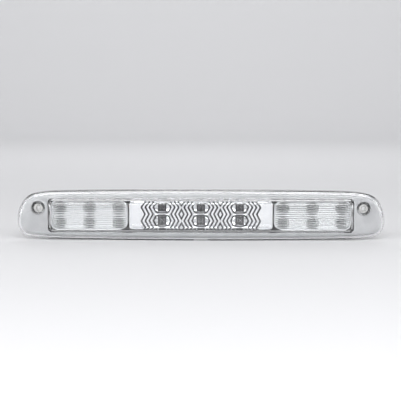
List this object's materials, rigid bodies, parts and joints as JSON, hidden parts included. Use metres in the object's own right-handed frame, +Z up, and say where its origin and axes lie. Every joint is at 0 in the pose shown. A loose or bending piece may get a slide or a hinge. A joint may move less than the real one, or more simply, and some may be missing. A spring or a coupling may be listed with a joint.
{
  "type": "third brake light",
  "caption": "Long narrow clear-lens third brake light with stepped bright reflectors, fluted cargo lamps at both sides and rounded screw-down ends.",
  "frame": {"origin": "midway between the two mounting-screw bores, on the plane where the gasket meets the cab", "axes": "+X along the lamp to the right as seen from behind the vehicle, -Y out of the lens, +Y into the cab, +Z up"},
  "size_m": [0.432, 0.056, 0.06],
  "materials": {
    "clear_lens": "polished clear polycarbonate",
    "silver_trim": "satin pale silver grey",
    "sealant": "matte grey sealant",
    "black_housing": "moulded black, fine grain",
    "gasket_foam": "closed-cell foam, matte",
    "sleeve_steel": "zinc plated, satin",
    "mirror_plastic": "vacuum-metallised, polished",
    "fluted_lens": "clear, fluted",
    "circuit_board": "green solder mask",
    "led_package": "clear epoxy over lead frame",
    "component_black": "moulded epoxy",
    "capacitor_can": "satin",
    "screw_steel": "zinc plated",
    "nylon": "natural nylon",
    "lead_insulation": "satin",
    "connector_black": "moulded black, satin",
    "seal_rubber": "matte silicone",
    "terminal_tin": "tin plated",
    "vent_rubber": "matte"
  },
  "bodies": {
    "root": {"outer_lens": "clear_lens", "flange_bezel": "silver_trim", "lens_seal": "sealant", "rear_housing": "black_housing", "mounting_gasket": "gasket_foam", "screw_sleeves": "sleeve_steel", "brake_reflector": "mirror_plastic", "brake_led_board": "circuit_board", "brake_leds": "led_package", "cargo_reflector_left": "mirror_plastic", "cargo_reflector_right": "mirror_plastic", "cargo_inner_lens_left": "fluted_lens", "cargo_inner_lens_right": "fluted_lens", "cargo_led_board_left": "circuit_board", "cargo_led_board_right": "circuit_board", "cargo_leds_left": "led_package", "cargo_leds_right": "led_package", "brake_resistors": "component_black", "cargo_resistors": "component_black", "protection_diodes": "component_black", "current_regulator": "component_black", "surge_capacitor": "capacitor_can", "board_screws": "screw_steel", "jumper_sockets": "nylon", "jumper_lead_left": "lead_insulation", "jumper_lead_right": "lead_insulation", "connector_header": "connector_black", "connector_seal": "seal_rubber", "connector_terminals": "terminal_tin", "vent_plugs": "vent_rubber"}
  },
  "joints": []
}
